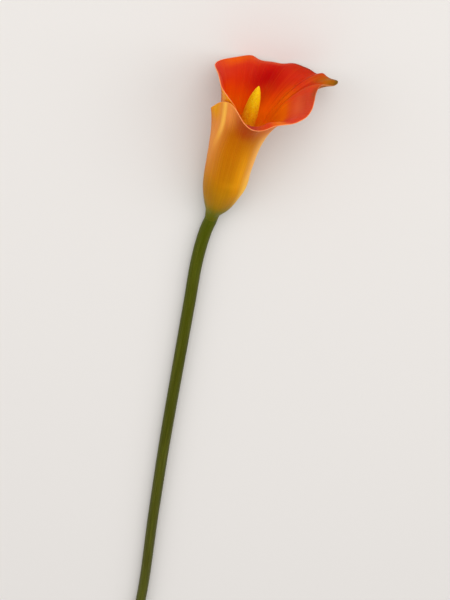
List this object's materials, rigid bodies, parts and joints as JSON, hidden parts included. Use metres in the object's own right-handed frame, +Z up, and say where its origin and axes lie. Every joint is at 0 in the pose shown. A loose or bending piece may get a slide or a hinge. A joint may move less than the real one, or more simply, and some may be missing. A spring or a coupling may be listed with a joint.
{
  "type": "calla lily flower",
  "caption": "Cut calla lily lying on a surface: an orange spathe rolled into a flared funnel with a drawn-out tail, round a yellow spadix, on a slender bowed green stem.",
  "frame": {"origin": "centre of the whole flower's box, at the surface it lies on", "axes": "+Z up from the surface, +Y along the stem towards the flower head, +X the side that the tail of the spathe points to"},
  "size_m": [0.1298, 0.4377, 0.0505],
  "materials": {
    "spathe": "soft waxy satin, red-orange inside and yellow-orange outside",
    "spadix": "matte and finely granular",
    "stem": "smooth satin olive green"
  },
  "bodies": {
    "root": {"stem": "stem", "spathe": "spathe", "spadix": "spadix"}
  },
  "joints": []
}
